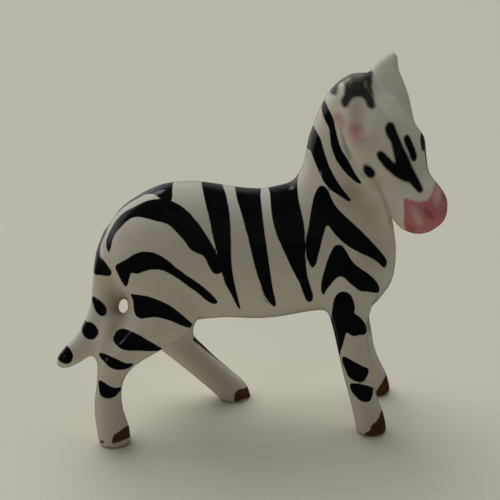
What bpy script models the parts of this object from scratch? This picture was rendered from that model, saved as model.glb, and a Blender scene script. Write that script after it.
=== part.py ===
"""A small walking zebra in glazed porcelain, cast in one piece, standing on its four feet.

Metres, +Z up. +X runs to the chest, -Y is the side towards which the head turns.
The stations of the body, neck, legs, tail and head are shares of the standing height:
one unit is 1/62 of it, so HEIGHT scales the whole animal.
"""
import math

import bmesh
import bpy
from mathutils import Matrix, Vector

# Driving dimensions
HEIGHT = 0.062                      # soles to the tip of the raised ear
BARREL_WIDTH = 0.0190               # across the belly
LEG_TRACK = 0.0134                  # between the middles of the left and right feet
CANNON_WIDTH = 0.0047               # across a leg at its thinnest
HOOF_WIDTH = 0.0052                 # across a hoof
TAIL_WIDTH = 0.0046                 # across the tail where it hangs free of the rump
TAIL_HOLE_WIDTH = 0.0014            # of the small gap between tail and thigh
TAIL_HOLE_HEIGHT = 0.0026
EAR_WIDTH = 0.0060                  # across the ear on the side of the poll
EAR_LENGTH = 0.0100                 # root to tip
EAR_HOLLOW = 0.0007                 # depth of the hollow in the near ear
MUZZLE_WIDTH = 0.0092
HEAD_LENGTH = 0.0233                # back of the skull to the end of the muzzle
HEAD_TURN = math.radians(-50.0)     # head turned to the animal's right
HEAD_NOD = math.radians(47.0)       # muzzle below the poll
HEAD_TILT = math.radians(23.0)      # head leant to its right side
TRIANGLES = 9000                    # faces of the finished solid

AROUND = 32
STEPS = 5
X = Vector((1.0, 0.0, 0.0))
Y = Vector((0.0, 1.0, 0.0))
Z = Vector((0.0, 0.0, 1.0))


unit = HEIGHT / 62.0                # length of one station unit
grain = 0.0075 * HEIGHT             # cell of the blended skin


def spline(rows, steps=STEPS):
    """Rows of numbers carried through by a Catmull-Rom curve."""
    out = []
    last = len(rows) - 1
    for i in range(last):
        p0 = rows[max(i - 1, 0)]
        p1 = rows[i]
        p2 = rows[i + 1]
        p3 = rows[min(i + 2, last)]
        for k in range(steps):
            t = k / steps
            row = []
            for a, b, c, d in zip(p0, p1, p2, p3):
                bend = (2 * a - 5 * b + 4 * c - d) * t * t + (3 * b - a - 3 * c + d) * t ** 3
                row.append(0.5 * (2 * b + (c - a) * t + bend))
            out.append(tuple(row))
    out.append(tuple(rows[-1]))
    return out


def shell(bm, rings):
    """Closes a run of rings (centre, u, v) into one skin with a point at each end."""
    loops = []
    for centre, u, v in rings:
        loop = []
        for k in range(AROUND):
            a = math.tau * k / AROUND
            loop.append(bm.verts.new((centre + u * math.cos(a) + v * math.sin(a)) * unit))
        loops.append(loop)
    for lower, upper in zip(loops, loops[1:]):
        for k in range(AROUND):
            n = (k + 1) % AROUND
            bm.faces.new((lower[k], lower[n], upper[n], upper[k]))
    bm.faces.new(list(reversed(loops[0])))
    bm.faces.new(loops[-1])


def rounded(rings, cap):
    """Adds a domed end to both ends of a run of rings."""
    def dome(end, inner):
        centre, u, v = end
        out = (centre - inner[0]).normalized()
        reach = cap * min(u.length, v.length)
        extra = []
        for k in range(1, 5):
            a = math.radians(88.0) * k / 4
            shrink = math.cos(a)
            extra.append((centre + out * reach * math.sin(a), u * shrink, v * shrink))
        return extra
    return dome(rings[0], rings[1])[::-1] + rings + dome(rings[-1], rings[-2])


def level_loft(bm, rows, cap=0.5):
    """Limb from level rings: height, back x, front x, middle y, half width."""
    rings = []
    for z, back, front, y, half in spline(rows):
        centre = Vector(((back + front) / 2, y, z))
        rings.append((centre, X * (front - back) / 2, Y * half))
    shell(bm, rounded(rings, cap))


def upright_loft(bm, rows, cap=0.6):
    """Trunk from upright rings: x, middle height, half height, half width."""
    rings = []
    for x, z, tall, half in spline(rows):
        rings.append((Vector((x, 0.0, z)), Z * -tall, Y * half))
    shell(bm, rounded(rings, cap))


def swept(bm, rows, side, cap=1.0):
    """Round form along a path: x, y, z, half thickness, half width along side."""
    stations = spline(rows)
    points = [Vector(row[:3]) for row in stations]
    rings = []
    for i, row in enumerate(stations):
        along = (points[min(i + 1, len(points) - 1)] - points[max(i - 1, 0)]).normalized()
        wide = (side - along * side.dot(along)).normalized()
        thick = along.cross(wide)
        rings.append((points[i], thick * row[3], wide * row[4]))
    shell(bm, rounded(rings, cap))


def as_object(name, bm):
    bmesh.ops.recalc_face_normals(bm, faces=bm.faces)
    mesh = bpy.data.meshes.new(name)
    bm.to_mesh(mesh)
    bm.free()
    item = bpy.data.objects.new(name, mesh)
    bpy.context.scene.collection.objects.link(item)
    return item


def cutter(name, bm, body):
    item = as_object(name, bm)
    item.hide_render = True
    item.display_type = 'WIRE'
    item.parent = body
    return item


# Widths that the stations use, in units
foot_y = LEG_TRACK / 2 / unit
thin = CANNON_WIDTH / 2 / unit
hoof = HOOF_WIDTH / 2 / unit
belly = BARREL_WIDTH / 2 / unit
tail = TAIL_WIDTH / 2 / unit
muzzle = MUZZLE_WIDTH / 2 / unit
ear_half = EAR_WIDTH / 2 / unit
ear_long = EAR_LENGTH / unit

# Head frame: forward to the muzzle, side to the animal's left, crown out of the forehead
forward = Vector((math.cos(HEAD_TURN) * math.cos(HEAD_NOD),
                  math.sin(HEAD_TURN) * math.cos(HEAD_NOD), -math.sin(HEAD_NOD)))
level_side = Vector((-math.sin(HEAD_TURN), math.cos(HEAD_TURN), 0.0))
level_crown = forward.cross(level_side)
side = level_side * math.cos(HEAD_TILT) + level_crown * math.sin(HEAD_TILT)
crown = level_crown * math.cos(HEAD_TILT) - level_side * math.sin(HEAD_TILT)
skull = Vector((18.4, -2.0, 51.8))


def in_head(s, l, h):
    """A point of the head: s to the muzzle, l to the left, h out of the forehead."""
    return skull + forward * s + side * l + crown * h


for item in list(bpy.data.objects):
    bpy.data.objects.remove(item, do_unlink=True)

bm = bmesh.new()

# Trunk, from rump to chest
upright_loft(bm, [
    (-23.0, 31.0, 4.4, belly * 0.50),
    (-21.0, 31.0, 7.2, belly * 0.72),
    (-18.0, 30.8, 9.3, belly * 0.87),
    (-14.0, 30.6, 11.1, belly * 0.96),
    (-9.7, 30.5, 11.6, belly),
    (-4.0, 30.4, 11.2, belly),
    (2.0, 30.1, 10.9, belly * 0.97),
    (8.0, 30.5, 11.6, belly * 0.96),
    (13.0, 30.2, 11.2, belly * 0.92),
    (17.5, 29.5, 10.2, belly * 0.84),
    (20.2, 29.4, 8.8, belly * 0.74),
    (22.0, 29.6, 6.8, belly * 0.58),
], cap=0.34)

# Neck, from the withers to the crest behind the ears
level_loft(bm, [
    (29.0, 3.0, 23.3, 0.0, 8.7),
    (33.0, 3.6, 23.6, 0.0, 8.5),
    (37.0, 4.9, 22.9, 0.0, 7.6),
    (41.0, 6.3, 21.3, -0.2, 6.6),
    (45.0, 8.3, 19.6, -0.4, 5.6),
    (49.0, 8.9, 19.0, -0.6, 5.0),
    (52.0, 9.9, 19.2, -0.7, 4.8),
    (55.0, 11.1, 19.6, -0.7, 4.5),
    (57.5, 12.8, 19.6, -0.5, 3.6),
    (59.0, 14.8, 18.8, -0.3, 2.3),
], cap=0.3)

# Near hind leg: thigh, hock and hoof under the rump
level_loft(bm, [
    (35.0, -21.6, -4.0, -3.0, 4.6),
    (31.0, -22.3, -4.6, -3.8, 5.1),
    (27.5, -21.6, -5.6, -4.4, 5.1),
    (24.0, -20.0, -6.8, -5.0, 4.5),
    (20.0, -22.2, -10.0, -5.7, 3.8),
    (17.0, -24.3, -14.2, -foot_y + 0.7, 3.3),
    (14.7, -25.5, -18.4, -foot_y + 0.3, 2.9),
    (12.7, -25.6, -20.5, -foot_y + 0.1, thin * 1.06),
    (10.4, -25.9, -21.5, -foot_y, thin * 0.98),
    (7.6, -26.4, -21.8, -foot_y, thin),
    (4.8, -26.5, -21.4, -foot_y, thin * 1.06),
    (2.3, -26.3, -20.7, -foot_y, hoof),
    (0.5, -26.1, -20.6, -foot_y, hoof),
    (-1.5, -25.8, -20.9, -foot_y, hoof * 0.92),
])

# Far hind leg, swung forward under the belly
level_loft(bm, [
    (35.0, -21.2, -4.0, 3.0, 4.6),
    (31.0, -21.8, -4.4, 3.8, 5.0),
    (27.5, -20.8, -5.0, 4.4, 4.9),
    (24.0, -19.0, -5.6, 5.0, 4.3),
    (20.0, -18.3, -7.0, 5.6, 3.8),
    (16.5, -18.3, -8.6, foot_y - 0.6, 3.3),
    (13.0, -17.7, -9.7, foot_y - 0.2, 2.9),
    (11.0, -16.5, -8.3, foot_y, thin * 1.15),
    (8.1, -13.4, -5.8, foot_y, thin * 1.12),
    (5.4, -10.6, -3.1, foot_y, thin * 1.10),
    (2.8, -8.0, -0.5, foot_y, hoof),
    (0.7, -5.9, 0.5, foot_y, hoof),
    (-0.4, -4.9, 0.6, foot_y, hoof * 0.97),
    (-1.5, -4.2, 0.5, foot_y, hoof * 0.9),
])

# Near fore leg
level_loft(bm, [
    (35.0, 7.5, 21.0, -2.8, 4.6),
    (30.0, 8.8, 21.6, -4.2, 4.9),
    (26.0, 10.2, 20.6, -4.9, 4.2),
    (22.5, 11.4, 19.2, -5.6, 3.7),
    (19.0, 12.5, 18.6, -foot_y + 0.6, 3.2),
    (15.5, 13.4, 19.0, -foot_y + 0.3, 2.8),
    (11.0, 14.6, 19.7, -foot_y + 0.1, thin * 1.08),
    (6.8, 15.8, 20.7, -foot_y, thin * 1.02),
    (3.7, 16.6, 21.9, -foot_y, thin * 1.06),
    (1.5, 17.1, 22.5, -foot_y, hoof),
    (0.0, 17.3, 22.6, -foot_y, hoof),
    (-1.5, 17.6, 22.4, -foot_y, hoof * 0.92),
])

# Far fore leg, a little ahead
level_loft(bm, [
    (35.0, 8.5, 21.5, 2.8, 4.6),
    (30.0, 9.8, 22.2, 4.2, 4.9),
    (26.0, 12.0, 21.9, 4.9, 4.2),
    (22.5, 14.0, 21.5, 5.6, 3.7),
    (19.0, 15.4, 21.4, foot_y - 0.6, 3.2),
    (15.3, 16.2, 21.7, foot_y - 0.2, 2.8),
    (13.3, 16.8, 22.2, foot_y - 0.1, thin * 1.12),
    (9.3, 17.9, 23.0, foot_y, thin * 1.06),
    (6.2, 19.3, 24.2, foot_y, thin * 1.02),
    (3.7, 20.4, 25.5, foot_y, thin * 1.06),
    (1.0, 21.2, 26.3, foot_y, hoof),
    (0.0, 21.3, 26.3, foot_y, hoof),
    (-1.5, 21.6, 26.1, foot_y, hoof * 0.92),
])

# Tail, hanging over the thigh and kicked out at its tip
swept(bm, [
    (-20.6, 0.0, 34.2, tail * 1.20, tail * 1.30),
    (-22.7, -0.4, 31.2, tail * 1.08, tail * 1.15),
    (-23.6, -1.2, 27.0, tail * 1.03, tail * 1.00),
    (-24.0, -2.4, 23.2, tail * 1.03, tail * 0.95),
    (-25.4, -3.6, 19.8, tail * 0.98, tail * 0.90),
    (-27.3, -4.4, 17.2, tail * 0.92, tail * 0.85),
    (-29.6, -4.9, 15.3, tail * 0.82, tail * 0.78),
    (-31.1, -5.0, 14.2, tail * 0.62, tail * 0.62),
], Y, cap=1.0)

# Webs of slip that join the tail to the thigh below and above the gap
swept(bm, [
    (-22.4, -4.5, 20.9, 1.9, 2.1),
    (-23.4, -5.0, 18.3, 2.4, 2.5),
    (-24.0, -5.4, 16.0, 2.2, 2.5),
], Y, cap=0.8)
swept(bm, [
    (-21.3, -2.6, 30.5, 1.9, 2.0),
    (-21.7, -3.2, 27.0, 1.5, 1.7),
], Y, cap=0.8)

# Head, from the back of the skull to the muzzle
reach = HEAD_LENGTH / 24.8 / unit
head_rows = []
for s, h, tall, half in [
    (-4.4, 0.0, 3.4, 3.6),
    (-2.0, 0.0, 4.8, 4.8),
    (1.5, 0.1, 5.3, 5.6),
    (5.0, 0.0, 5.2, 5.9),
    (8.5, -0.3, 4.8, 5.3),
    (11.8, -0.7, 4.0, muzzle * 0.91),
    (15.2, -0.5, 4.0, muzzle * 0.99),
    (17.6, -0.4, 3.7, muzzle * 0.95),
    (19.2, -0.4, 2.7, muzzle * 0.70),
]:
    point = in_head(s * reach, 0.0, h)
    head_rows.append((point.x, point.y, point.z, tall, half))
swept(bm, head_rows, side, cap=0.45)

# Brow over each eye
for l in (-4.5, 4.5):
    brow = []
    for s, share, h, size in ((2.6, 0.86, 0.5, 1.4), (5.8, 1.0, 1.0, 1.9), (9.0, 0.84, 0.3, 1.3)):
        point = in_head(s * reach, l * share, h)
        brow.append((point.x, point.y, point.z, size, size))
    swept(bm, brow, side, cap=0.9)

# Throat, filled where the jaw rests against the neck
throat = []
for s, l, h, size in ((2.0, -0.6, -3.0, 4.3), (6.0, -1.4, -3.7, 4.1), (9.8, -2.0, -4.5, 3.5), (12.4, -2.1, -5.6, 2.4)):
    point = in_head(s * reach, l, h)
    throat.append((point.x, point.y, point.z, size, size))
swept(bm, throat, side, cap=0.8)

# Ears, standing upright from both sides of the poll: along the ear, across it, thickness, width
lean = (-forward * 0.85 + side * 0.47 + crown * 0.22).normalized()
broad = Vector((0.997, -0.082, 0.0))
near_root = in_head(2.2, -4.3, 2.6)
far_root = in_head(-0.3, 3.9, 1.2)
near_rows = [
    (-0.14, 0.0, 1.9, 0.72),
    (0.20, 0.0, 2.0, 1.02),
    (0.46, 0.0, 1.6, 1.02),
    (0.67, 0.0, 1.1, 0.78),
    (0.80, 0.0, 0.8, 0.38),
]
far_rows = [
    (-0.20, 0.0, 2.7, 1.20),
    (0.16, -0.5, 2.5, 1.12),
    (0.42, -0.9, 2.1, 0.96),
    (0.62, -1.0, 1.7, 0.84),
    (0.75, -0.4, 1.3, 0.56),
    (0.88, 0.1, 0.95, 0.34),
    (0.96, 0.2, 0.7, 0.22),
]
for root, rows in ((near_root, near_rows), (far_root, far_rows)):
    path = []
    for t, over, thick, share in rows:
        point = root + lean * (t * ear_long) + broad * over
        path.append((point.x, point.y, point.z, thick, ear_half * share))
    swept(bm, path, broad, cap=0.8)

zebra = as_object("zebra", bm)

# Gap between the tail and the thigh, sloping with the light that falls through it
gap = bmesh.new()
through = Vector((0.077, 0.9365, -0.342))
middle = Vector((-21.0, -4.0, 23.3))
rings = []
for k in range(-6, 11):
    rings.append((middle + through * k, X * (TAIL_HOLE_WIDTH / 2 / unit), Z * (TAIL_HOLE_HEIGHT / 2 / unit)))
shell(gap, rings)
tail_gap = cutter("tail_gap", gap, zebra)

# Hollow in the front of the near ear
hollow = bmesh.new()
facing = broad.cross(lean).normalized()
path = []
for t, out, share in ((0.04, 1.9, 0.34), (0.24, 2.0, 0.62), (0.46, 1.7, 0.62), (0.68, 1.2, 0.34)):
    point = near_root + lean * (t * ear_long) + facing * out
    path.append((point.x, point.y, point.z, EAR_HOLLOW / unit, ear_half * share))
swept(hollow, path, broad, cap=0.8)
ear_hollow = cutter("ear_hollow", hollow, zebra)

# Floor plane that trims the soles flat
block = bmesh.new()
bmesh.ops.create_cube(block, size=1.0)
bmesh.ops.scale(block, vec=Vector((2.0 * HEIGHT, 2.0 * HEIGHT, 0.1 * HEIGHT)), verts=block.verts)
bmesh.ops.translate(block, vec=Vector((0.0, 0.0, -0.05 * HEIGHT)), verts=block.verts)
floor_trim = cutter("floor_trim", block, zebra)

def reskin(name, softness):
    """Runs one even skin over everything so far and softens its creases."""
    skin = zebra.modifiers.new(name, 'REMESH')
    skin.mode = 'VOXEL'
    skin.voxel_size = grain
    skin.adaptivity = 0.0
    soft = zebra.modifiers.new(name + "_soft", 'SMOOTH')
    soft.factor = 0.5
    soft.iterations = softness


reskin("blend", 6)
reskin("slip", 5)
for name, tool in (("gap", tail_gap), ("hollow", ear_hollow)):
    cut = zebra.modifiers.new(name, 'BOOLEAN')
    cut.operation = 'DIFFERENCE'
    cut.solver = 'EXACT'
    cut.object = tool
reskin("glaze", 5)

# The number of faces so far sets how far the skin is thinned out
graph = bpy.context.evaluated_depsgraph_get()
faces = len(zebra.evaluated_get(graph).data.polygons)
thin_out = zebra.modifiers.new("thin_out", 'DECIMATE')
thin_out.decimate_type = 'COLLAPSE'
thin_out.ratio = min(1.0, TRIANGLES / (2.0 * faces))
soles = zebra.modifiers.new("soles", 'BOOLEAN')
soles.operation = 'DIFFERENCE'
soles.solver = 'EXACT'
soles.object = floor_trim

porcelain = bpy.data.materials.new("glazed_porcelain")
porcelain.use_nodes = True
shader = porcelain.node_tree.nodes["Principled BSDF"]
shader.inputs["Base Color"].default_value = (0.80, 0.76, 0.70, 1.0)
shader.inputs["Roughness"].default_value = 0.12
shader.inputs["Metallic"].default_value = 0.0
zebra.data.materials.append(porcelain)

# Origin at the middle of the bounding box, on the floor
graph = bpy.context.evaluated_depsgraph_get()
points = [v.co.copy() for v in zebra.evaluated_get(graph).data.vertices]
low = Vector([min(p[i] for p in points) for i in range(3)])
high = Vector([max(p[i] for p in points) for i in range(3)])
zebra.location = (-(low.x + high.x) / 2, -(low.y + high.y) / 2, -low.z)
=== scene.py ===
"""Looks of the painted porcelain zebra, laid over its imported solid.

The paint is a set of brush strokes. Each is a closed outline in the picture's own pixels,
thrown through the camera onto the glaze and kept there as a distance to the stroke's edge,
in millimetres, that the shader turns into a crisp or a soft rim.
"""
import math

import bmesh
import bpy
import numpy as np
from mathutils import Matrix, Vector


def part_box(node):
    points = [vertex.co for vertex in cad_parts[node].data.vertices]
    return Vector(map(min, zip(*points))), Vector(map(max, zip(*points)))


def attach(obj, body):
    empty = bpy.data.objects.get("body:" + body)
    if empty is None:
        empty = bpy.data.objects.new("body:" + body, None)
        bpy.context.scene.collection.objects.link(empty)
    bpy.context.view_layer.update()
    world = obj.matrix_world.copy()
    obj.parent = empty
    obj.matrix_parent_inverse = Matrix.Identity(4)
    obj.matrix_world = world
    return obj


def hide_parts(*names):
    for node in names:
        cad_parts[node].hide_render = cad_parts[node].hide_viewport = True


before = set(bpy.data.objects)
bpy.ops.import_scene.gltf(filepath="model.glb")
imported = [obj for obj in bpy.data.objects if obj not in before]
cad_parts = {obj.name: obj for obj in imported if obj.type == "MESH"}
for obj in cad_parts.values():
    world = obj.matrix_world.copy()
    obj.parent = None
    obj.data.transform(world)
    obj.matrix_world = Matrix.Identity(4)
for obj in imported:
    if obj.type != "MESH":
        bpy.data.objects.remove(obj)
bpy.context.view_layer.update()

MM = 0.001
TINY = 1e-12

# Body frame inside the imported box, in millimetres
BODY_X = 1.391                         # the animal's own origin along the box
MIDDLE_Y = 2.02                        # the animal's middle plane
LEG_Y = 6.7                            # from the middle plane to the middle of a leg
LEG_RADIUS = 2.7

# Camera, at the picture's viewing angle
PICTURE_SIDE = 500                     # pixels
FOCAL_PIXELS = 900.0
SENSOR = 36.0
CLIP_START = 0.005                     # metres
VIEW_AZIMUTH = math.radians(-4.7)
VIEW_ELEVATION = math.radians(20.0)
VIEW_DISTANCE = 150.0                  # millimetres
VIEW_TARGET = np.array([BODY_X, 4.12, 30.0])

# Fine mesh of the skin, in metres
CELL = 0.00030                         # spacing, which keeps it under 200,000 triangles
WELD = 1e-7
SOLE_SNAP = 0.00006                    # points nearer the floor than this are laid on it
SMOOTH_ROUNDS = 27
SHRINK = 0.60                          # each round pulls the skin in, then pushes it out again
SWELL = -0.63

# Rises of the skin over the solid, in millimetres: how far up, where along the body and at what height
CROUP_RISE = 0.45
CROUP_ALONG = (-22.0, -13.0, -8.0, 0.0)
CROUP_UP = (28.0, 42.0)
TUCK_RISE = 1.25
TUCK_ALONG = (3.0, 12.5, 15.5, 19.5)
TUCK_UP = (9.0, 18.0, 20.0, 29.0)
FLANK_RISE = 0.45
FLANK_ALONG = (-11.0, -6.5, -4.0, 2.0)
FLANK_UP = (12.0, 18.0, 20.0, 28.0)

# Head: where the skull is, how it is turned, and its half sizes at stations from the skull to the muzzle
SKULL = np.array([BODY_X + 18.4, MIDDLE_Y - 2.0, 51.8])
SKULL_RADIUS = 5.2
HEAD_TURN = math.radians(-50.0)
HEAD_NOD = math.radians(47.0)
HEAD_TILT = math.radians(23.0)
HEAD_ALONG = (1.5, 5.0, 8.5, 11.8, 15.2, 17.6)
HEAD_HALF_TALL = (5.3, 5.2, 4.8, 4.2, 4.2, 3.9)
HEAD_HALF_WIDE = (5.6, 5.9, 5.3, 4.3, 4.6, 4.4)
HEAD_MARGIN = 1.22                     # what is this much wider than the half sizes is still the head
HEAD_START = 0.5
HEAD_END = 22.0

# Fold of the far side over the near one, in millimetres
FOLD_OUT = 0.7                         # off the middle plane
FOLD_BODY = 2.3                        # further out ahead of the tail
FOLD_BODY_ALONG = (-25.0, -15.0)
FOLD_NECK = 2.6                        # back in, up the neck
FOLD_NECK_UP = (38.0, 50.0)
SWAY = 0.7                             # the far stripes wander along the body by this
SWAY_TURN = 0.31                       # radians to a millimetre of height
SWAY_SHIFT = 0.5
SWAY_FULL = 8.0                        # this far beyond the fold

# Where paint stops, in millimetres, or as how squarely the skin faces the eye, from 1 to -1
EDGE_LIMIT = 1.2                       # distances beyond this are cut off
CORNER = 0.8                           # roundness of a stroke's end where it is cut off
SMALL_CORNER = 0.2
STEEPEST = 0.25                        # a picture distance isn't stretched for steeper skin than this
LEG_REACH = 2.4                        # a leg's strokes go this far past its middle
NEAR_EDGE = 0.05
NEAR_WANDER = 0.10                     # ends of the near strokes, one before another
NEAR_TURN = 1.1                        # radians to a millimetre of height
FAR_WANDER = 0.15
FAR_TURN = 1.3
NECK_END = 11.0                        # along the head
POLL_END = 5.0
MUZZLE_START = 6.0
FACE_EDGE = 0.10
FACE_CORNER = 0.3
FAR_FACE_EDGE = 0.24
FAR_LINE_CORNER = 0.1
HOOF_TOP = 6.0
SOLE_RIM = 0.28                        # height of the bare rim under the hooves
RING_HIDDEN = 14.8                     # where the muzzle's paint ends along the head, out of sight
RING_SLACK = 3.8                       # and this much nearer the skull where it is in sight
RING_TURN = (-0.45, 0.05)
DAB_TURN = (0.0, 0.35)
DAB_BEYOND = 1.0                       # dabs go this far past the middle plane

# The camera's and the head's axes
back = np.array([
    math.sin(VIEW_AZIMUTH) * math.cos(VIEW_ELEVATION),
    -math.cos(VIEW_AZIMUTH) * math.cos(VIEW_ELEVATION),
    math.sin(VIEW_ELEVATION),
])
right = np.array([math.cos(VIEW_AZIMUTH), math.sin(VIEW_AZIMUTH), 0.0])
up = np.cross(back, right)
eye = VIEW_TARGET + VIEW_DISTANCE * back

ahead = np.array([
    math.cos(HEAD_TURN) * math.cos(HEAD_NOD),
    math.sin(HEAD_TURN) * math.cos(HEAD_NOD),
    -math.sin(HEAD_NOD),
])
level_side = np.array([-math.sin(HEAD_TURN), math.cos(HEAD_TURN), 0.0])
level_crown = np.cross(ahead, level_side)
side = level_side * math.cos(HEAD_TILT) + level_crown * math.sin(HEAD_TILT)
crown = level_crown * math.cos(HEAD_TILT) - level_side * math.sin(HEAD_TILT)

# Brush strokes, as outlines in picture pixels
BODY_STROKES = {
    "barrel_1": [(201, 172), (220, 172), (222, 183), (226, 195), (229, 210), (230.5, 225), (231, 245),
                 (231.5, 262), (233.5, 278), (236.5, 292), (240.5, 309), (237, 306), (234, 300),
                 (230, 292), (225.5, 284), (222.5, 275), (219.5, 262), (216.5, 250), (213, 237),
                 (210, 222), (207, 209), (204.3, 198), (202.3, 188), (201, 178)],
    "barrel_2": [(234, 176), (260, 178), (260.5, 195), (262.5, 215), (265.3, 237), (268, 256),
                 (270.3, 272), (273, 289), (276, 304), (273.5, 306.5), (269, 302), (264, 294),
                 (260.5, 284), (256.3, 272), (252.8, 258), (249.2, 243), (245.3, 228), (241.3, 213),
                 (237, 199), (235, 187)],
    "barrel_3": [(269, 178), (298, 166), (297.5, 180), (298, 196), (301, 210), (304, 224), (305.2, 240),
                 (305.5, 258), (307.5, 276), (311, 288), (313.2, 296), (311.5, 301.5), (307, 301),
                 (303.5, 294), (299, 282), (293, 271), (288, 260), (282, 247), (277, 236), (273, 222),
                 (271, 208), (270, 194)],
    "shoulder": [(321.5, 185.5), (325.5, 187.5), (329, 192), (331.5, 198), (334, 203.5), (339.5, 210.3),
                 (346.3, 217), (355.3, 225.2), (365.3, 235), (374.5, 244.5), (381.5, 252.5), (386.5, 260),
                 (386, 266.5), (383, 267.5), (378, 262.5), (370, 257.5), (361, 253.3), (351, 248),
                 (343, 242.3), (336, 235.5), (331, 229), (327.5, 225.5), (325.2, 229), (323, 237),
                 (320.5, 247), (318, 257), (315.5, 265), (312.5, 268), (309, 263), (306, 253),
                 (305.5, 243), (307.5, 232), (309.5, 220), (311.5, 207), (314.5, 195), (318, 188)],
    "chest": [(337, 245), (341.5, 245.5), (346, 250.5), (350, 258), (356, 265), (363, 270), (370, 275),
              (376, 281), (379.3, 287), (379, 292), (375, 293), (367, 291.5), (360, 291), (354, 286.8),
              (349, 282.5), (344.5, 278), (340, 276.5), (335.5, 279), (330.8, 284.5), (326.5, 290),
              (323.5, 295), (321.3, 291), (321.3, 283), (323.5, 273), (326.5, 263), (330, 254),
              (333.5, 247)],
    "rump_1": [(106.3, 247), (106.5, 240), (108.5, 234), (111.5, 228), (115, 222), (119, 217),
               (123.5, 213), (128, 210), (134, 207), (140.5, 203.5), (148, 200.5), (157, 199),
               (166, 199.3), (174, 202), (181, 206), (188, 211.5), (194, 218), (200.5, 226), (207, 236),
               (213, 246.5), (218.2, 256.5), (221.5, 264), (222, 270.5), (219, 274), (214, 273.5),
               (210, 268.5), (206.5, 261.5), (203, 256), (196, 253), (190, 249), (185, 242), (178, 234),
               (170.5, 226.5), (164, 223), (156, 221), (148, 219), (140, 217), (133, 217.5), (127, 221),
               (121, 227), (115.5, 233.5), (112.5, 240), (111, 247), (109, 252.5)],
    "rump_2": [(115.2, 266.5), (119.5, 263), (127, 259), (133.5, 254.5), (141, 252), (150, 252),
               (158, 254.3), (167, 259.8), (176, 267.3), (186, 274.8), (196, 281.5), (205, 288.3),
               (212, 294.8), (217.3, 301), (216, 304), (212, 303.5), (205, 299.5), (197, 292.5),
               (187, 285.5), (178, 279), (170, 274), (162, 270.5), (152, 269.7), (144, 271.5), (137, 274),
               (131.5, 273), (129.7, 277), (128, 284), (125.5, 286.5), (122, 282), (118.3, 275)],
    "rump_3": [(130.5, 294), (137, 294.6), (146, 296), (156, 299), (166, 303.4), (175, 309), (183, 315.5),
               (190, 321.5), (192.4, 324.5), (190.3, 327.8), (184.5, 326.6), (178, 324), (171, 321),
               (163, 318.6), (155, 317.4), (147, 318), (141, 318.8), (136.5, 316.5), (134, 311),
               (133.3, 303), (132, 298)],
    "croup": [(93, 262), (92, 245), (100, 228), (110, 212), (125, 196), (140, 187), (155, 180),
              (172, 176), (172.3, 190), (172, 199), (168, 203), (164, 201), (159, 197.5), (153, 194.3),
              (146, 194.3), (140, 197.3), (134, 200.6), (128, 204.3), (122, 209), (117, 214),
              (112.5, 220), (109, 226), (106.3, 232), (103.8, 238), (101.3, 244), (100, 251),
              (99.5, 259)],
}
LEG_STROKES = {
    "thigh": [(113, 339), (115, 333.5), (118.5, 329.8), (123, 328.6), (130, 330.6), (140, 335.5),
              (150, 341.3), (157, 345.5), (162.3, 348.8), (159, 350.8), (151, 351.3), (142, 351),
              (133, 350.7), (124, 350), (118, 346.7), (114.5, 342.7)],
    "hock": [(99, 354), (101, 352.7), (107, 354.7), (116.5, 358.8), (125, 363), (133, 363.5),
             (131, 366.8), (126.5, 369), (120, 370.2), (113, 369), (108, 366), (104, 361.3),
             (100.5, 358)],
    "shank": [(98.5, 382), (100.3, 380), (105, 383), (111, 386.5), (116, 387.8), (121.5, 387.2),
              (119.5, 392), (115.3, 396.5), (110, 398.7), (104.5, 398), (100.5, 395), (99, 389)],
    "forearm": [(343, 291.5), (348.8, 293.5), (353, 299), (355.2, 308), (354.6, 313), (359, 316.3),
                (364, 321.8), (366.8, 329), (365, 334.4), (359, 335.2), (354.4, 336.4), (350.3, 335),
                (347.3, 332.6), (345.2, 336), (343.4, 343), (341, 350), (339.4, 355.8), (337, 352.7),
                (334.7, 341), (332.3, 330), (331, 320), (331.8, 312), (333, 304), (335, 297),
                (338.5, 293)],
    "knee": [(343, 356.5), (348, 358), (355, 362), (362.5, 366), (368.6, 368.8), (368.2, 373),
             (366.8, 377), (363.5, 381.8), (358, 382.2), (352.8, 380), (348, 376), (345, 369),
             (342, 361)],
    "cannon": [(350.5, 383.5), (356, 383.4), (362.5, 384.4), (372.8, 387.5), (373, 391), (372, 396.5),
               (370, 400.8), (366, 402.2), (361, 401), (356, 397), (352, 392), (350, 387)],
}
TAIL_STROKES = {
    "root": [(94, 256), (98, 255.5), (103, 259.5), (109, 267), (111.8, 273), (108.5, 276), (101, 275.3),
             (94, 273)],
    "upper": [(92, 296), (98, 299), (103, 303), (106.7, 309), (105.7, 315), (101, 316), (96.5, 312),
              (93.5, 306)],
    "middle": [(85, 322.5), (90, 322), (95, 325), (98.5, 331), (97, 337), (91, 339.7), (85, 337.5),
               (82, 332.5), (82.3, 327)],
    "tip": [(65, 345), (60, 350), (57, 356), (60, 361.7), (66, 364), (71, 362), (73.3, 356), (71, 350.3),
            (68, 346.5)],
    "edge": [(70, 336), (77, 327.5), (84, 319), (86, 322), (79.5, 329.6), (72.6, 337.6)],
}
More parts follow.
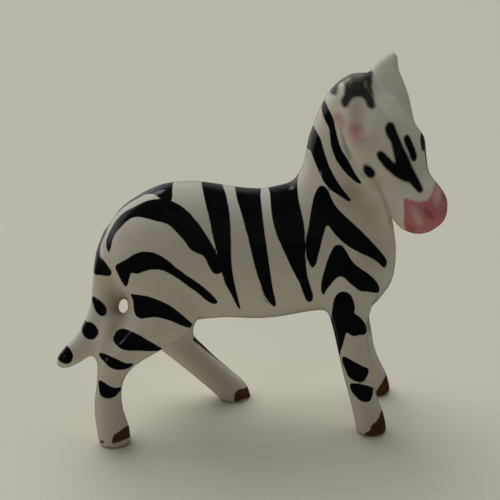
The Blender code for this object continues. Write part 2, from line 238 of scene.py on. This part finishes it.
NECK_STROKES = {
    "neck_back": [(313, 125.5), (316.5, 131.5), (320.5, 138.5), (322.8, 147), (325.8, 156), (329.3, 166),
                  (334.8, 177), (341.7, 188), (347, 194.5), (351.3, 200.5), (348, 201.3), (342, 197.3),
                  (335, 193), (329, 188.5), (324, 182), (320, 174), (316.5, 166), (313.3, 158),
                  (310.3, 150.5), (303, 146), (299, 138), (308, 124)],
    "neck_middle": [(323.5, 99), (326, 103), (328, 108), (331, 113.5), (333.8, 120), (335.8, 130),
                    (337.8, 139), (341.3, 149), (346, 157), (350.3, 164), (353.6, 170.5), (357.2, 176.5),
                    (361.5, 182.5), (359, 183.7), (353.6, 180.2), (347, 174.5), (340, 166),
                    (334.7, 156.5), (331, 145.5), (330, 136.5), (328.7, 128), (323.5, 117), (321.5, 107)],
}
POLL_STROKES = {
    "crest_spot": [(330, 83.5), (334, 79.5), (340, 75), (347, 70), (350, 76), (346, 80.5), (341, 82.5),
                   (338.7, 85.5), (338, 90), (336, 94.7), (332.5, 95), (329.7, 92), (328.7, 88)],
    "poll": [(341, 73), (350, 62), (371, 60), (372.6, 74), (372.2, 84), (373, 93), (375.2, 101),
             (374.8, 107), (371.5, 109.3), (368.3, 107.5), (365.8, 103), (362.5, 98.8), (358, 97),
             (353.6, 98.5), (350.3, 102), (348.3, 106), (344.8, 108), (341.8, 106), (341, 101.5),
             (343, 96.5), (344.6, 91), (344.4, 86), (343.2, 81), (341.8, 77)],
}
FACE_STROKES = {
    "cheek_dot": [(364.5, 165.3), (370.5, 166.6), (374.8, 172), (374, 176.6), (369.5, 177.8),
                  (365.2, 174), (363.4, 169)],
    "eye": [(388.6, 122.2), (393, 123), (395.5, 127.5), (397.5, 133), (400.5, 140), (404, 148),
            (408.2, 156.5), (412.3, 166.3), (416.7, 175), (421.4, 184.5), (423, 190.5), (419.5, 193),
            (416.5, 190.8), (413.2, 187.4), (409, 183), (402, 180.8), (395, 176.6), (386.3, 169.3),
            (379.5, 161), (376.6, 155.3), (378.2, 151.3), (382, 151.3), (386.5, 154.8), (391, 159.3),
            (394.2, 162.6), (394.9, 162), (394.2, 158), (392.6, 150), (390.6, 142.5), (387.3, 136.8),
            (385, 130.7), (385.5, 125.5)],
    "nose": [(406.9, 134.3), (410, 137), (413.6, 145), (416.6, 153.6), (416.7, 159.3), (413.6, 162),
             (410.5, 158), (407.7, 150.7), (404.8, 143.6), (403.5, 137.9)],
    "far_brow": [(421.3, 132.5), (423.6, 136), (425, 143), (424.2, 149), (422.6, 151.5), (421, 146),
                 (420.3, 139)],
}
GREY_STROKES = {
    "barrel_end": [(262, 282), (268, 288), (271.5, 300), (267, 303), (262.5, 293)],
    "neck_front": [(339.6, 129), (342, 129), (346, 143), (350.6, 158.5), (348.4, 159.5), (343.8, 147)],
    "dot_halo": [(363, 164.5), (369, 164.5), (376, 172.5), (375.5, 178), (369, 179), (363, 173)],
    "far_knee": [(367.6, 317), (370.6, 318), (371.4, 326), (370, 333), (367.6, 330)],
}
NEAR_HOOVES = {
    "near_hind": [(111.6, 444), (113.8, 435.5), (121, 430.3), (127.8, 425.5), (133, 424), (134, 434),
                  (130.7, 437), (123, 440.3), (117, 442.5)],
    "near_hind_back": [(100, 440.5), (103, 440.5), (104.5, 442.6), (101.5, 443.5)],
    "near_fore": [(363, 435.8), (366, 433), (370.6, 429.5), (370.8, 426), (375, 422.3), (379.2, 417.3),
                  (381.3, 411), (385, 412), (389, 424), (388, 431), (383.8, 433.6), (379, 435.3),
                  (371, 437.3), (365, 437.6)],
}
FAR_HOOVES = {
    "far_hind": [(234.8, 401.5), (234.8, 393.3), (240, 389), (245.8, 387.3), (247, 382), (253, 384),
                 (254, 392), (249.6, 397.3), (242, 399.6)],
    "far_fore": [(376.5, 398), (375.3, 392.5), (377.3, 389.6), (381.2, 383.6), (385.2, 376.5),
                 (385.6, 371), (391, 374), (392, 387), (388.6, 391), (381.5, 396.8)],
}
MUZZLE = {
    "muzzle": [(404.5, 198), (411, 200.5), (419, 202), (427, 200.5), (432, 193.5), (434.5, 185),
               (437, 178), (452, 176), (460, 215), (440, 245), (408, 245), (404.5, 229), (404, 213)],
}
# A pale gap in the pink, and a painted highlight on the muzzle's rim
MUZZLE_GAP_AND_SHINE = {
    "gap": [(411.5, 207), (416, 209), (420, 214), (423, 221), (421, 225), (417, 223), (413, 216)],
    "shine": [(437, 186), (440.5, 191), (440, 200), (436.5, 206), (433.5, 200), (435, 191)],
}
MUZZLE_LINES = {
    "nostril": [(443.5, 188), (446.5, 191), (446, 199), (443, 200), (442, 193)],
    "lip": [(425, 207), (431, 212), (435, 219), (429, 219), (424, 212)],
    "chin": [(405, 222), (411, 225), (416, 229), (411, 234), (406, 230)],
}
# Painted shade: a warm dark patch in the recess between the tail and the near hind leg
RECESS_SHADE_STROKES = {
    "tail_recess": [(108, 276), (117, 283), (125, 290), (130, 298), (131, 311), (126, 322), (118, 334),
                    (111, 338), (106.5, 330), (108, 317), (110, 305), (108, 291)],
}
# Painted shade along the crease where the cheek overlaps the neck, with a little dirt in it
GROOVE_DIRT_AND_SHADE = {
    "cheek": [(374, 180), (377, 181.5), (382.3, 191), (387.2, 203), (391, 215), (394, 225.5),
              (391.5, 226), (388.3, 216), (384, 204.5), (379, 193)],
}

# Thin line along the upper edge of the far hind leg
FAR_LINE = {
    "edge": [(194, 337.5), (200, 342.5), (208, 349), (217.5, 356.5), (229, 366.5), (228.3, 368),
             (216.5, 358.8), (206.5, 351), (198, 344), (193, 340)],
}

# Round dabs: position and reach in picture pixels
BLUSH_SPOTS = [(338.6, 117.5, 8.5), (341.5, 122.5, 8.5), (355.0, 130.0, 14.0), (357.5, 135.0, 13.0)]
# Stains at the jaw's end, by the near fore hoof and on the throat; the dab inside the near ear and the two
# widest, on the neck under the jaw, are painted shade
STAIN_AND_SHADE_SPOTS = [(376.0, 184.0, 14.0), (358.5, 434.5, 6.0), (369.0, 222.0, 5.0), (356.5, 110.0, 15.0),
               (352.0, 196.0, 26.0), (374.0, 212.0, 22.0)]
# Dabs on the poll where the black is thinner paint and carries a painted reflection of the room
THIN_PAINT_AND_SHEEN_SPOTS = [(347.0, 77.0, 11.0), (357.0, 71.0, 13.0)]

# Hidden side of the face: millimetres from the skull, and degrees round from the forehead
FAR_EYE = {
    "stroke": [(6.0, 58), (6.6, 50), (8.0, 45), (10.5, 49), (12.6, 53), (12.8, 57), (11.4, 63),
               (10.6, 72), (9.2, 82), (7.4, 91), (6.2, 94), (5.9, 88), (7.2, 79), (8.2, 71), (7.2, 66),
               (6.4, 63)],
    "dot": [(6.8, 110), (8.0, 106), (9.0, 111), (8.4, 118), (7.1, 117)],
}

# Bars on the outer faces of the far legs: place along the body and height, in millimetres
FAR_BARS = {
    "thigh": [(-13.0, 24.5), (-8.0, 25.5), (-4.6, 27.5), (-4.0, 26.0), (-7.0, 22.8), (-12.0, 21.9),
              (-15.0, 22.6)],
    "gaskin": [(-17.2, 18.6), (-12.0, 18.4), (-6.0, 20.4), (-5.0, 19.0), (-10.0, 16.2), (-15.0, 15.8)],
    "shank": [(-16.2, 12.8), (-12.0, 12.2), (-8.6, 13.6), (-9.0, 11.8), (-12.0, 10.6), (-14.6, 11.0)],
    "forearm": [(13.0, 23.6), (17.0, 22.5), (22.2, 23.4), (23.0, 21.6), (17.5, 19.6), (13.8, 20.6)],
    "knee": [(16.0, 16.8), (20.0, 15.6), (24.0, 16.6), (24.0, 14.8), (20.0, 13.3), (17.0, 14.2)],
    "cannon": [(18.5, 10.6), (21.5, 10.0), (25.0, 10.8), (25.0, 9.0), (22.0, 8.0), (19.0, 8.8)],
}


def curve_through(points, steps=4):
    """A closed outline carried smoothly through its points."""
    p = np.array(points, float)
    before, after, beyond = np.roll(p, 1, 0), np.roll(p, -1, 0), np.roll(p, -2, 0)
    rows = []
    for k in range(steps):
        t = k / steps
        square = 2 * before - 5 * p + 4 * after - beyond
        cube = 3 * p - before - 3 * after + beyond
        rows.append(0.5 * (2 * p + (after - before) * t + (square * t * t + cube * t ** 3)))
    return np.stack(rows, 1).reshape(-1, 2)


def distance_inside(points, outline):
    """Distance to a closed outline, positive inside it."""
    nearest = np.full(len(points), np.inf)
    crossings = np.zeros(len(points), bool)
    for a, b in zip(outline, np.roll(outline, -1, 0)):
        along = b - a
        length = along @ along
        if length < TINY:
            continue
        t = np.clip((points - a) @ along / length, 0.0, 1.0)
        gap = points - a - t[:, None] * along
        nearest = np.minimum(nearest, (gap * gap).sum(1))
        spans = (a[1] > points[:, 1]) != (b[1] > points[:, 1])
        if spans.any():
            cut = a[0] + (points[:, 1] - a[1]) * along[0] / along[1]
            crossings ^= spans & (points[:, 0] < cut)
    return np.sqrt(nearest) * np.where(crossings, 1.0, -1.0)


def painted(strokes, where, scale):
    """The union of strokes at flat positions, in millimetres inside the edge."""
    best = np.full(len(where), -EDGE_LIMIT)
    for points in strokes.values():
        outline = curve_through(points)
        margin = EDGE_LIMIT * scale.max()
        low, high = outline.min(0) - margin, outline.max(0) + margin
        near = np.where(((where > low) & (where < high)).all(1))[0]
        if len(near):
            best[near] = np.maximum(best[near], distance_inside(where[near], outline) / scale[near])
    return np.clip(best, -EDGE_LIMIT, EDGE_LIMIT)


def on_picture(points):
    """Picture position of points in millimetres, and the pixels to a millimetre there."""
    offset = points - eye
    depth = -(offset @ back)
    across = PICTURE_SIDE / 2 + FOCAL_PIXELS * (offset @ right) / depth
    down = PICTURE_SIDE / 2 - FOCAL_PIXELS * (offset @ up) / depth
    return np.stack([across, down], 1), FOCAL_PIXELS / depth


def smooth_step(x, low, high):
    """0 below low, 1 above high, and an even rise between."""
    t = np.clip((x - low) / (high - low), 0.0, 1.0)
    return t * t * (3 - 2 * t)


def hump(x, rise, top, end, fall):
    """1 between top and end, easing to 0 at rise and fall."""
    return smooth_step(x, rise, top) * (1.0 - smooth_step(x, end, fall))


def touch_up(x, z):
    """The small rise of the croup, and the tuck of the belly and the flank, in millimetres upwards."""
    croup = CROUP_RISE * hump(x, *CROUP_ALONG) * smooth_step(z, *CROUP_UP)
    tuck = TUCK_RISE * hump(x, *TUCK_ALONG) * hump(z, *TUCK_UP)
    flank = FLANK_RISE * hump(x, *FLANK_ALONG) * hump(z, *FLANK_UP)
    return croup + tuck + flank


def fine_mesh(name, node):
    """An object with the node's form on a fine even mesh."""
    mesh = node.data.copy()
    mesh.name = name
    mesh.materials.clear()
    weld = bmesh.new()
    weld.from_mesh(mesh)
    bmesh.ops.remove_doubles(weld, verts=weld.verts, dist=WELD)
    weld.to_mesh(mesh)
    weld.free()
    item = bpy.data.objects.new(name, mesh)
    bpy.context.scene.collection.objects.link(item)
    skin = item.modifiers.new("skin", 'REMESH')
    skin.mode = 'VOXEL'
    skin.voxel_size = CELL
    skin.adaptivity = 0.0
    graph = bpy.context.evaluated_depsgraph_get()
    fine = bpy.data.meshes.new_from_object(item.evaluated_get(graph))
    item.modifiers.clear()
    item.data = fine
    fine.name = name
    return item


def smoothed(place, edges):
    """Points evened out along the mesh's edges, with the volume kept."""
    count = len(place)
    a, b = edges[:, 0], edges[:, 1]
    degree = np.bincount(a, minlength=count) + np.bincount(b, minlength=count)
    for push in (SHRINK, SWELL) * SMOOTH_ROUNDS:
        mean = np.empty_like(place)
        for axis in range(3):
            around = np.bincount(a, place[b, axis], count) + np.bincount(b, place[a, axis], count)
            mean[:, axis] = around / degree
        place += push * (mean - place)
    return place


def fine_skin(name, node):
    """The node's form again, its facets softened, standing in the same box."""
    item = fine_mesh(name, node)
    fine = item.data
    place = np.empty(len(fine.vertices) * 3)
    fine.vertices.foreach_get("co", place)
    edges = np.empty(len(fine.edges) * 2, np.int32)
    fine.edges.foreach_get("vertices", edges)
    place = smoothed(place.reshape(-1, 3), edges.reshape(-1, 2))
    place[:, 2] += MM * touch_up(place[:, 0] / MM, place[:, 2] / MM)
    low, high = (np.array(corner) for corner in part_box("zebra"))
    place = np.clip(place, low, high)
    place[place[:, 2] < SOLE_SNAP, 2] = 0.0
    fine.vertices.foreach_set("co", place.ravel())
    fine.update()
    fine.polygons.foreach_set("use_smooth", np.ones(len(fine.polygons), bool))
    outward = np.empty(len(fine.vertices) * 3, np.float32)
    fine.vertex_normals.foreach_get("vector", outward)
    return item, place / MM, outward.reshape(-1, 3)


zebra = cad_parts["zebra"]
figure, place, normal = fine_skin("zebra_figurine", zebra)
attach(figure, "root")
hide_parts("zebra")

# The paint's distances on the skin
x, y, z = place.T
ones = np.ones(len(place))
off_skull = place - SKULL
along = off_skull @ ahead
leftward = off_skull @ side
outward = off_skull @ crown
half_tall = np.interp(along, HEAD_ALONG, HEAD_HALF_TALL)
half_wide = np.interp(along, HEAD_ALONG, HEAD_HALF_WIDE)
in_girth = np.hypot(leftward / half_wide, outward / half_tall) < HEAD_MARGIN
is_head = in_girth & (along > HEAD_START) & (along < HEAD_END)

# The far side repeats the near one, folded over where the near side rolls out of sight
fold_y = MIDDLE_Y + FOLD_OUT + FOLD_BODY * smooth_step(x, *FOLD_BODY_ALONG)
fold_y -= FOLD_NECK * smooth_step(z, *FOLD_NECK_UP)
beyond = np.maximum(y - fold_y, 0.0)
folded = place.copy()
folded[:, 1] -= 2 * beyond
folded[:, 0] += smooth_step(beyond, 0.0, SWAY_FULL) * (SWAY * np.sin(z * SWAY_TURN) + SWAY_SHIFT)
flat, scale = on_picture(folded)
plain_flat, plain_scale = on_picture(place)


def facing_eye(points, normals):
    """How squarely the skin faces the camera's eye, from 1 to -1."""
    to_eye = eye - points
    to_eye /= np.linalg.norm(to_eye, axis=1)[:, None]
    return (normals * to_eye).sum(1)


facing = facing_eye(place, normal)
sight = facing_eye(folded, normal * np.stack([ones, np.where(beyond > 0.0, -1.0, 1.0), ones], 1))


def in_sight(strokes):
    """Strokes laid on the skin straight from the picture."""
    return painted(strokes, plain_flat, plain_scale)


def squarely(distance, sight):
    """A picture distance again along the skin, where the skin is seen aslant."""
    return np.clip(distance / np.clip(sight, STEEPEST, 1.0), -EDGE_LIMIT, EDGE_LIMIT)


def gated(distance, gate, corner=CORNER):
    """A stroke cut off where the gate, in millimetres inside, ends, with rounded corners."""
    gate = np.clip(gate, -EDGE_LIMIT, EDGE_LIMIT)
    bite = np.hypot(np.maximum(corner - distance, 0.0), np.maximum(corner - gate, 0.0))
    return np.maximum(corner, np.minimum(distance, gate)) - bite


def only(part, distance):
    """A paint's distance on one part of the skin, and none elsewhere."""
    return np.where(part, distance, -EDGE_LIMIT)


def dabs(spots):
    """Soft round dabs, strongest in their middle."""
    best = np.zeros(len(place))
    for u, v, reach in spots:
        away = np.hypot(plain_flat[:, 0] - u, plain_flat[:, 1] - v) / reach
        best = np.maximum(best, smooth_step(1.0 - away, 0.0, 1.0))
    return best * smooth_step(facing, *DAB_TURN) * (y < MIDDLE_Y + DAB_BEYOND)


# Leg strokes stop on the edge-on sides, each a little before or after the others
near_leg = LEG_RADIUS * (facing + NEAR_EDGE + NEAR_WANDER * np.sin(z * NEAR_TURN))
near_leg = np.minimum(near_leg, (MIDDLE_Y - LEG_Y + LEG_REACH) - y)
far_leg = LEG_RADIUS * (normal[:, 1] + FAR_WANDER * np.sin(z * FAR_TURN))
far_leg = np.minimum(far_leg, y - (MIDDLE_Y + LEG_Y - LEG_REACH))
far_leg_top = np.minimum(LEG_RADIUS * (facing + NEAR_EDGE), y - MIDDLE_Y)

# Black strokes with a crisp rim
body = only(~is_head, squarely(painted(BODY_STROKES, flat, scale), sight))
neck = only(~(is_head & (along > NECK_END)), squarely(painted(NECK_STROKES, flat, scale), sight))
legs = gated(squarely(in_sight(LEG_STROKES), facing), near_leg)
bars = gated(painted(FAR_BARS, np.stack([x - BODY_X, z], 1), ones), far_leg)
tail = in_sight(TAIL_STROKES)
far_line = gated(in_sight(FAR_LINE), far_leg_top, FAR_LINE_CORNER)

# Strokes of the face, with a plainer copy on its hidden side
round_head = np.arctan2(leftward / half_wide, outward / half_tall)
far_chart = np.stack([along, round_head * SKULL_RADIUS], 1)
far_eye = {part: [(u, math.radians(v) * SKULL_RADIUS) for u, v in points] for part, points in FAR_EYE.items()}
face_near = squarely(in_sight(FACE_STROKES), facing)
face_near = gated(face_near, SKULL_RADIUS * (facing - FACE_EDGE), FACE_CORNER)
face_far = gated(painted(far_eye, far_chart, ones), SKULL_RADIUS * (FAR_FACE_EDGE - facing), SMALL_CORNER)

# The muzzle, which out of sight ends in a plain ring round the jaw
is_snout = is_head & (along > MUZZLE_START)
muzzle_ring = along - RING_HIDDEN + RING_SLACK * smooth_step(facing, *RING_TURN)

is_near = y < MIDDLE_Y
hooves = np.where(is_near, in_sight(NEAR_HOOVES), in_sight(FAR_HOOVES))

PAINT = {
    "black": np.maximum.reduce([body, legs, bars, tail, neck, far_line]),
    "face": only(is_head, np.maximum(face_near, face_far)),
    "poll": only(~(is_head & (along > POLL_END)), painted(POLL_STROKES, flat, scale)),
    "grey": gated(in_sight(GREY_STROKES), LEG_RADIUS * facing),
    "brown": only(z <= HOOF_TOP, hooves),
    "sole": np.clip(SOLE_RIM - z, -EDGE_LIMIT, EDGE_LIMIT),
    "pink": gated(only(is_snout, in_sight(MUZZLE)), muzzle_ring, SMALL_CORNER),
    # pale gap in the pink, and a painted highlight on the muzzle
    "gap": in_sight(MUZZLE_GAP_AND_SHINE),
    "lines": only(is_snout, in_sight(MUZZLE_LINES)),
    # painted shade and a little dirt in the crease between cheek and neck
    "groove_dirt_and_shade": gated(in_sight(GROOVE_DIRT_AND_SHADE), LEG_RADIUS * facing),
    # painted shade in the recess by the tail
    "recess_shade": only(is_near, in_sight(RECESS_SHADE_STROKES)),
    "blush": dabs(BLUSH_SPOTS),
    # real stains, and painted shade inside the near ear and on the neck under the jaw
    "stain_and_shade": dabs(STAIN_AND_SHADE_SPOTS),
    # thinner paint and a painted reflection on the poll
    "thin_paint_and_sheen": dabs(THIN_PAINT_AND_SHEEN_SPOTS),
}
for name, values in PAINT.items():
    layer = figure.data.attributes.new(name, 'FLOAT', 'POINT')
    layer.data.foreach_set("value", values.astype(np.float32))

# Pairs of colours that a noise runs between, linear
PORCELAIN = ((0.675, 0.619, 0.521), (0.75, 0.699, 0.603))
INK = ((0.0012, 0.0012, 0.0015), (0.007, 0.0065, 0.0065))
HOOF_BROWN = ((0.048, 0.018, 0.006), (0.150, 0.062, 0.019))

# Paint in the order it is laid: its attribute, its colour or pair of colours, half the softness of its rim
# and the wander of the hand in millimetres, and its strength. A dab has no rim.
LAYERS = (
    # painted shade in the recess by the tail
    ("recess_shade", (0.40, 0.32, 0.19), 1.00, 0.30, 0.50),
    # real stains, and painted shade inside the near ear and on the neck under the jaw
    ("stain_and_shade", (0.44, 0.36, 0.24), None, None, 0.42),
    # painted shade and a little dirt in the crease between cheek and neck
    ("groove_dirt_and_shade", (0.30, 0.25, 0.13), 0.45, 0.30, 0.60),
    ("blush", (0.60, 0.27, 0.25), None, None, 0.80),
    ("grey", (0.20, 0.20, 0.19), 0.30, 0.30, 0.60),
    ("pink", (0.58, 0.215, 0.225), 0.20, 0.35, 1.00),
    # pale gap in the pink, and a painted highlight on the muzzle
    ("gap", (0.74, 0.62, 0.56), 0.60, 0.20, 0.55),
    ("lines", (0.30, 0.05, 0.06), 0.30, 0.20, 0.50),
    ("brown", HOOF_BROWN, 0.12, 0.35, 1.00),
    ("sole", (0.42, 0.34, 0.24), 0.10, 0.25, 0.75),
    ("face", INK, 0.25, 0.15, 1.00),
)
POLL_RIM = 0.36
POLL_WANDER = 0.5
POLL_STRENGTH = 0.95
POLL_THINNED = 0.42                    # less than that under a thin dab, where thinner paint and a painted reflection grey the black
STRIPE_RIM = 0.09
STRIPE_WANDER = 0.16
STRIPE_BUMP = 0.5                      # thickness of the black paint in the bump, beside the ripples
RIPPLE_BUMP = 1.6

# Scales of the noises, to a metre
TREMOR = 900.0
CLOUD = 140.0
STREAK = 420.0
RIPPLE = 330.0
SPECK = 60.0

# Sockets of a mix node that take and give colours
MIX_BASE = 6
MIX_TOP = 7
MIX_RESULT = 2


def between(tree, factor, low, high):
    """A colour that runs from low to high with a factor."""
    mix = tree.nodes.new("ShaderNodeMix")
    mix.data_type = 'RGBA'
    tree.links.new(factor, mix.inputs["Factor"])
    mix.inputs[MIX_BASE].default_value = (*low, 1.0)
    mix.inputs[MIX_TOP].default_value = (*high, 1.0)
    return mix.outputs[MIX_RESULT]


def painted_porcelain():
    """White glaze over the paint, whose layers are read from the skin's attributes."""
    material = bpy.data.materials.new("painted_porcelain")
    material.use_nodes = True
    tree = material.node_tree
    nodes, links = tree.nodes, tree.links
    shader = nodes["Principled BSDF"]
    coords = nodes.new("ShaderNodeTexCoord")

    def noise(size, detail, label):
        node = nodes.new("ShaderNodeTexNoise")
        node.label = label
        node.inputs["Scale"].default_value = size
        node.inputs["Detail"].default_value = detail
        links.new(coords.outputs["Object"], node.inputs["Vector"])
        return node.outputs["Fac"]

    def work_out(operation, a, b):
        node = nodes.new("ShaderNodeMath")
        node.operation = operation
        for socket, value in zip(node.inputs, (a, b)):
            if isinstance(value, (int, float)):
                socket.default_value = value
            else:
                links.new(value, socket)
        return node.outputs[0]

    def attribute(name):
        layer = nodes.new("ShaderNodeAttribute")
        layer.attribute_name = name
        return layer.outputs["Fac"]

    def rim(name, soft, wander):
        """Coverage of a paint layer from its distance attribute, with a hand-drawn rim."""
        shake = work_out('MULTIPLY', work_out('SUBTRACT', tremor, 0.5), wander)
        step = nodes.new("ShaderNodeMapRange")
        step.interpolation_type = 'SMOOTHSTEP'
        step.inputs["From Min"].default_value = -soft
        step.inputs["From Max"].default_value = soft
        links.new(work_out('ADD', attribute(name), shake), step.inputs["Value"])
        return step.outputs["Result"]

    def over(base, top, cover):
        """A colour, or a streaked pair of colours, laid over another."""
        mix = nodes.new("ShaderNodeMix")
        mix.data_type = 'RGBA'
        links.new(cover, mix.inputs["Factor"])
        links.new(base, mix.inputs[MIX_BASE])
        if isinstance(top[0], tuple):
            links.new(between(tree, streak, *top), mix.inputs[MIX_TOP])
        else:
            mix.inputs[MIX_TOP].default_value = (*top, 1.0)
        return mix.outputs[MIX_RESULT]

    tremor = noise(TREMOR, 2.0, "tremor of the brush")
    cloud = noise(CLOUD, 3.0, "unevenness of the glaze")
    streak = noise(STREAK, 3.0, "thin and thick paint")
    colour = between(tree, cloud, *PORCELAIN)
    for name, paint, soft, wander, strength in LAYERS:
        cover = attribute(name) if soft is None else rim(name, soft, wander)
        colour = over(colour, paint, work_out('MULTIPLY', cover, strength))
    # The poll's black is weaker under the thin dabs: thinner paint, and a painted reflection
    poll_cover = work_out('SUBTRACT', POLL_STRENGTH, work_out('MULTIPLY', attribute("thin_paint_and_sheen"), POLL_THINNED))
    colour = over(colour, INK, work_out('MULTIPLY', rim("poll", POLL_RIM, POLL_WANDER), poll_cover))
    stripes = rim("black", STRIPE_RIM, STRIPE_WANDER)
    colour = over(colour, INK, stripes)
    links.new(colour, shader.inputs["Base Color"])

    shader.inputs["Roughness"].default_value = 0.09
    shader.inputs["IOR"].default_value = 1.5
    shader.inputs["Subsurface Weight"].default_value = 0.12
    shader.inputs["Subsurface Radius"].default_value = (1.0, 0.7, 0.4)
    shader.inputs["Subsurface Scale"].default_value = 0.0006

    bump = nodes.new("ShaderNodeBump")
    bump.inputs["Strength"].default_value = 0.25
    bump.inputs["Distance"].default_value = 0.00004
    ripples = work_out('MULTIPLY', noise(RIPPLE, 1.0, "ripple"), RIPPLE_BUMP)
    height = work_out('ADD', work_out('MULTIPLY', stripes, STRIPE_BUMP), ripples)
    links.new(height, bump.inputs["Height"])
    links.new(bump.outputs["Normal"], shader.inputs["Normal"])
    return material


figure.data.materials.clear()
figure.data.materials.append(painted_porcelain())

# Floor and wall, in metres
FLOOR_REACH = 2.2
FLOOR_DROP = 0.00002
FLOOR_COLOUR = (0.775, 0.752, 0.623)
FLOOR_UNEVEN = 0.02                    # share of its colour by which the floor varies
WALL_REACH = 2.0
WALL_FOOT = -0.1
WALL_TOP = 3.0
WALL_SIDES = 48
WALL_GLOW = (0.479, 0.468, 0.386)


def pale_floor():
    """A dull, faintly uneven white."""
    material = bpy.data.materials.new("pale_floor")
    material.use_nodes = True
    tree = material.node_tree
    shader = tree.nodes["Principled BSDF"]
    shader.inputs["Roughness"].default_value = 0.9
    shader.inputs["Specular IOR Level"].default_value = 0.1
    speck = tree.nodes.new("ShaderNodeTexNoise")
    speck.inputs["Scale"].default_value = SPECK
    dull = [c * (1.0 - FLOOR_UNEVEN) for c in FLOOR_COLOUR]
    pale = [c * (1.0 + FLOOR_UNEVEN) for c in FLOOR_COLOUR]
    tree.links.new(between(tree, speck.outputs["Fac"], dull, pale), shader.inputs["Base Color"])
    return material


def pale_wall():
    """A plain glow the colour of the lit floor."""
    material = bpy.data.materials.new("pale_wall")
    material.use_nodes = True
    shader = material.node_tree.nodes["Principled BSDF"]
    shader.inputs["Base Color"].default_value = (0.0, 0.0, 0.0, 1.0)
    shader.inputs["Specular IOR Level"].default_value = 0.0
    shader.inputs["Emission Color"].default_value = (*WALL_GLOW, 1.0)
    shader.inputs["Emission Strength"].default_value = 1.0
    return material


def backdrop(name, corners, faces, material):
    """A flat-sided object of the setting."""
    mesh = bpy.data.meshes.new(name)
    mesh.from_pydata(corners, [], faces)
    mesh.materials.append(material)
    item = bpy.data.objects.new(name, mesh)
    bpy.context.scene.collection.objects.link(item)
    return item


floor_corners = [(u * FLOOR_REACH, v * FLOOR_REACH, 0.0) for u, v in ((-1, -1), (1, -1), (1, 1), (-1, 1))]
floor = backdrop("floor", floor_corners, [(0, 1, 2, 3)], pale_floor())
floor.location.z = -FLOOR_DROP
# The dark room, not the table, is what the glaze mirrors
floor.visible_glossy = False

# The wall is there for the camera alone
wall_turns = [2 * math.pi * k / WALL_SIDES for k in range(WALL_SIDES)]
wall_corners = [(WALL_REACH * math.cos(turn), WALL_REACH * math.sin(turn), height)
                for height in (WALL_FOOT, WALL_TOP) for turn in wall_turns]
wall_faces = [(k, (k + 1) % WALL_SIDES, WALL_SIDES + (k + 1) % WALL_SIDES, WALL_SIDES + k)
              for k in range(WALL_SIDES)]
wall = backdrop("wall", wall_corners, wall_faces, pale_wall())
wall.visible_diffuse = False
wall.visible_glossy = False
wall.visible_transmission = False
wall.visible_shadow = False

# Broad, far and soft lights that the glaze doesn't mirror: azimuth, elevation, strength, spread, colour
SKYLIGHTS = {
    "sky_left": (-150, 49, 1.00, 64, (0.98, 0.99, 1.0)),
    "sky_behind": (178, 60, 0.72, 70, (0.99, 0.99, 1.0)),
    "sky_right": (92, 42, 0.20, 70, (1.0, 0.99, 0.96)),
    "fill_left": (-82, 34, 0.42, 70, (1.0, 0.98, 0.95)),
}

# Glows of the room that the glaze mirrors: azimuth, elevation, how many degrees off that way each starts
# and is full, and strength
ROOM_GLOWS = (
    (-142, 9, 37, 14, 0.42),
    (180, 12, 37, 0, 0.13),
    (150, 15, 37, 0, 0.04),
    (-154, 39, 10, 4, 1.3),
    (96, 59, 15, 4, 0.55),
    (-64, 9, 4, 1.5, 1.8),
    (4, 44, 34, 20, 0.03),
)
ROOM_DARK = 0.022                      # what the rest of the room gives
ROOM_COLOUR = (0.98, 0.98, 1.0)


def direction(azimuth, elevation):
    """The way from the figure to a light. Azimuth 0 is behind the camera, 90 to its right."""
    a, e = math.radians(azimuth), math.radians(elevation)
    return Vector((math.sin(a) * math.cos(e), -math.cos(a) * math.cos(e), math.sin(e)))


for name, (azimuth, elevation, strength, spread, colour) in SKYLIGHTS.items():
    data = bpy.data.lights.new(name, 'SUN')
    data.energy = strength
    data.angle = math.radians(spread)
    data.color = colour
    skylight = bpy.data.objects.new(name, data)
    skylight.rotation_mode = 'QUATERNION'
    skylight.rotation_quaternion = (-direction(azimuth, elevation)).to_track_quat('-Z', 'Y')
    skylight.visible_glossy = False
    bpy.context.scene.collection.objects.link(skylight)


def soft_room():
    """A dark world with a few soft glows in it."""
    world = bpy.data.worlds.new("soft_room")
    world.use_nodes = True
    nodes, links = world.node_tree.nodes, world.node_tree.links
    way = nodes.new("ShaderNodeTexCoord").outputs["Generated"]
    glow_sum = None
    for azimuth, elevation, wide, narrow, strength in ROOM_GLOWS:
        toward = nodes.new("ShaderNodeVectorMath")
        toward.operation = 'DOT_PRODUCT'
        links.new(way, toward.inputs[0])
        toward.inputs[1].default_value = direction(azimuth, elevation)
        reach = nodes.new("ShaderNodeMapRange")
        reach.interpolation_type = 'SMOOTHSTEP'
        reach.inputs["From Min"].default_value = math.cos(math.radians(wide))
        reach.inputs["From Max"].default_value = math.cos(math.radians(narrow))
        reach.inputs["To Max"].default_value = strength
        links.new(toward.outputs["Value"], reach.inputs["Value"])
        total = nodes.new("ShaderNodeMath")
        total.operation = 'ADD'
        if glow_sum is None:
            total.inputs[0].default_value = ROOM_DARK
        else:
            links.new(glow_sum, total.inputs[0])
        links.new(reach.outputs["Result"], total.inputs[1])
        glow_sum = total.outputs[0]
    links.new(glow_sum, nodes["Background"].inputs["Strength"])
    nodes["Background"].inputs["Color"].default_value = (*ROOM_COLOUR, 1.0)
    return world


bpy.context.scene.world = soft_room()

camera_data = bpy.data.cameras.new("camera")
camera_data.sensor_width = SENSOR
camera_data.lens = FOCAL_PIXELS * SENSOR / PICTURE_SIDE
camera_data.clip_start = CLIP_START
camera = bpy.data.objects.new("camera", camera_data)
camera.location = Vector(eye * MM)
camera.rotation_mode = 'QUATERNION'
camera.rotation_quaternion = Vector(-back).to_track_quat('-Z', 'Y')
bpy.context.scene.collection.objects.link(camera)
bpy.context.scene.camera = camera
bpy.context.scene.view_settings.view_transform = 'Standard'
